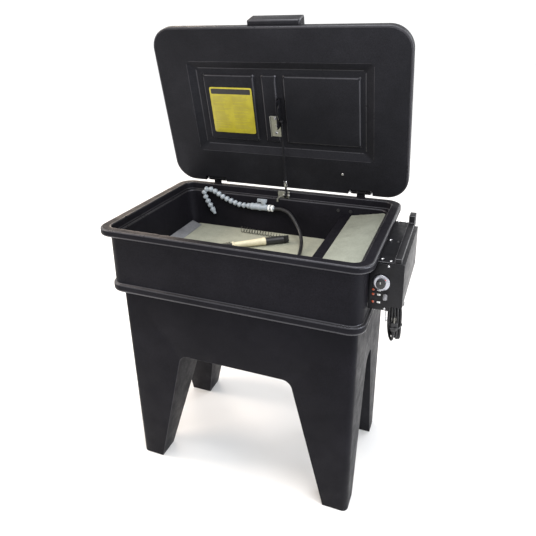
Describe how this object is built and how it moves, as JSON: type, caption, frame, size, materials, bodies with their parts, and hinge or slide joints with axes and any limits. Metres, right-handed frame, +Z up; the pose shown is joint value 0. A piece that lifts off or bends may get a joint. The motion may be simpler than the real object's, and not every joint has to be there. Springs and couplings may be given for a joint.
{
  "type": "parts washer tank",
  "caption": "Free-standing moulded parts washer tank on a four-legged stand, with a hinged lid, work shelf, valve with a jointed nozzle, flow-through brush and heater controls.",
  "frame": {"origin": "on the floor, at the centre of the outline of the whole object without its cords", "axes": "+X to the right along the tub's width, +Y to the hinged back, +Z up"},
  "size_m": [1.008, 0.6529, 1.6031],
  "materials": {
    "stand_plastic": "moulded black polyethylene, fine texture",
    "tub_plastic": "moulded black polyethylene, fine texture",
    "lid_plastic": "moulded black polyethylene, fine texture",
    "shelf_paint": "sage green baked enamel",
    "zinc_steel": "zinc-plated sheet steel",
    "bright_steel": "bright zinc-plated fasteners",
    "filter_media": "pleated paper and moulded resin",
    "brass": "machined brass",
    "black_plastic": "moulded black nylon",
    "pump_plastic": "glass-filled plastic",
    "pump_paint": "enamelled motor can",
    "white_plastic": "white acetal",
    "hose_rubber": "smooth black rubber",
    "black_paint": "black powder coat",
    "box_paint": "dark grey powder coat",
    "label_yellow": "yellow vinyl plate with a black band",
    "nozzle_plastic": "blue-grey acetal",
    "spring_steel": "blackened spring wire",
    "cream_plastic": "cream moulded plastic",
    "bristle": "black nylon bristles",
    "dial_silver": "brushed aluminium",
    "lamp_orange": "orange lamp lenses",
    "boot_rubber": "grey rubber boot",
    "cord_rubber": "black mains cord"
  },
  "bodies": {
    "frame": {"stand": "stand_plastic", "tub": "tub_plastic", "baffle": "tub_plastic", "work_shelf": "shelf_paint", "shelf_apron": "zinc_steel", "filter_deck": "zinc_steel", "filter_cover": "shelf_paint", "filter_cartridge": "filter_media", "filter_post": "zinc_steel", "drain_fitting": "brass", "drain_plug": "black_plastic", "pump_strainer": "pump_plastic", "pump_volute": "pump_plastic", "pump_motor": "pump_paint", "pump_outlet": "pump_plastic", "supply_tube": "hose_rubber", "heater_element": "bright_steel", "heater_flange": "brass", "thermostat_bulb": "brass", "hinge_brackets": "black_paint", "hinge_pins": "bright_steel", "hinge_screws": "bright_steel", "rim_bracket": "zinc_steel", "stay_pin": "bright_steel", "valve_body": "nozzle_plastic", "hose_nuts": "white_plastic", "brush_hose": "hose_rubber", "hose_spring": "spring_steel", "brush_handle": "cream_plastic", "brush_head": "black_plastic", "brush_bristles": "bristle", "loose_spring": "spring_steel", "wall_bolts": "black_paint", "control_bracket": "black_paint", "control_housing": "box_paint", "control_panel": "black_paint", "panel_hardware": "bright_steel", "lamps": "lamp_orange", "thermostat_body": "filter_media", "power_cord": "cord_rubber", "cord_hank": "cord_rubber"},
    "lid": {"lid_shell": "lid_plastic", "lid_liner": "lid_plastic", "hinge_leaves": "black_paint", "lid_label": "label_yellow", "lid_bracket": "zinc_steel", "lid_bracket_bolts": "bright_steel", "stay_guide": "black_paint", "lid_screw": "bright_steel"},
    "stay": {"stay_rod": "black_paint", "fusible_link": "bright_steel"},
    "valve_turner": {"valve_handle": "nozzle_plastic"},
    "nozzle_1": {"nozzle_arm": "nozzle_plastic"},
    "nozzle_2": {"nozzle_elbow": "nozzle_plastic"},
    "nozzle_3": {"nozzle_tip": "nozzle_plastic"},
    "dial": {"dial_skirt": "dial_silver", "dial_knob": "black_plastic"},
    "toggle_lever": {"toggle": "boot_rubber"},
    "pump_rotor": {"pump_shaft": "bright_steel", "pump_impeller": "white_plastic"}
  },
  "joints": [
    {"name": "lid_hinge", "type": "hinge", "parent": "frame", "child": "lid", "pos_m": [-0.03, 0.2778, 0.9655], "axis": [1, 0, 0], "range_deg": [0, 77.31]},
    {"name": "stay_swing", "type": "hinge", "parent": "frame", "child": "stay", "pos_m": [-0.014, 0.237, 0.936], "axis": [1, 0, 0], "range_deg": [0, 80.51]},
    {"name": "valve_turn", "type": "hinge", "parent": "frame", "child": "valve_turner", "pos_m": [-0.102, 0.216, 0.883], "axis": [0, 0, 1], "range_deg": [0, 90]},
    {"name": "nozzle_swing", "type": "hinge", "parent": "frame", "child": "nozzle_1", "pos_m": [-0.166, 0.216, 0.883], "axis": [0, 0, 1], "range_deg": [0, 15]},
    {"name": "nozzle_bend", "type": "hinge", "parent": "nozzle_1", "child": "nozzle_2", "pos_m": [-0.26076, 0.216, 0.90143], "axis": [0, 0, 1], "range_deg": [0, 15]},
    {"name": "nozzle_aim", "type": "hinge", "parent": "nozzle_2", "child": "nozzle_3", "pos_m": [-0.34982, 0.216, 0.88572], "axis": [0, 1, 0], "range_deg": [-15, 15]},
    {"name": "dial_turn", "type": "hinge", "parent": "frame", "child": "dial", "pos_m": [0.438, -0.22, 0.86], "axis": [0, -1, 0], "range_deg": [0, 270]},
    {"name": "toggle_flip", "type": "hinge", "parent": "frame", "child": "toggle_lever", "pos_m": [0.451, -0.218, 0.814], "axis": [1, 0, 0], "range_deg": [0, 24]},
    {"name": "pump_spin", "type": "hinge", "parent": "frame", "child": "pump_rotor", "pos_m": [-0.133, 0.095, 0.64], "axis": [0, 0, 1], "continuous": true}
  ],
  "couplings": [
    {"joint": "stay_swing", "follows": "lid_hinge", "ratio": 1.0413}
  ]
}
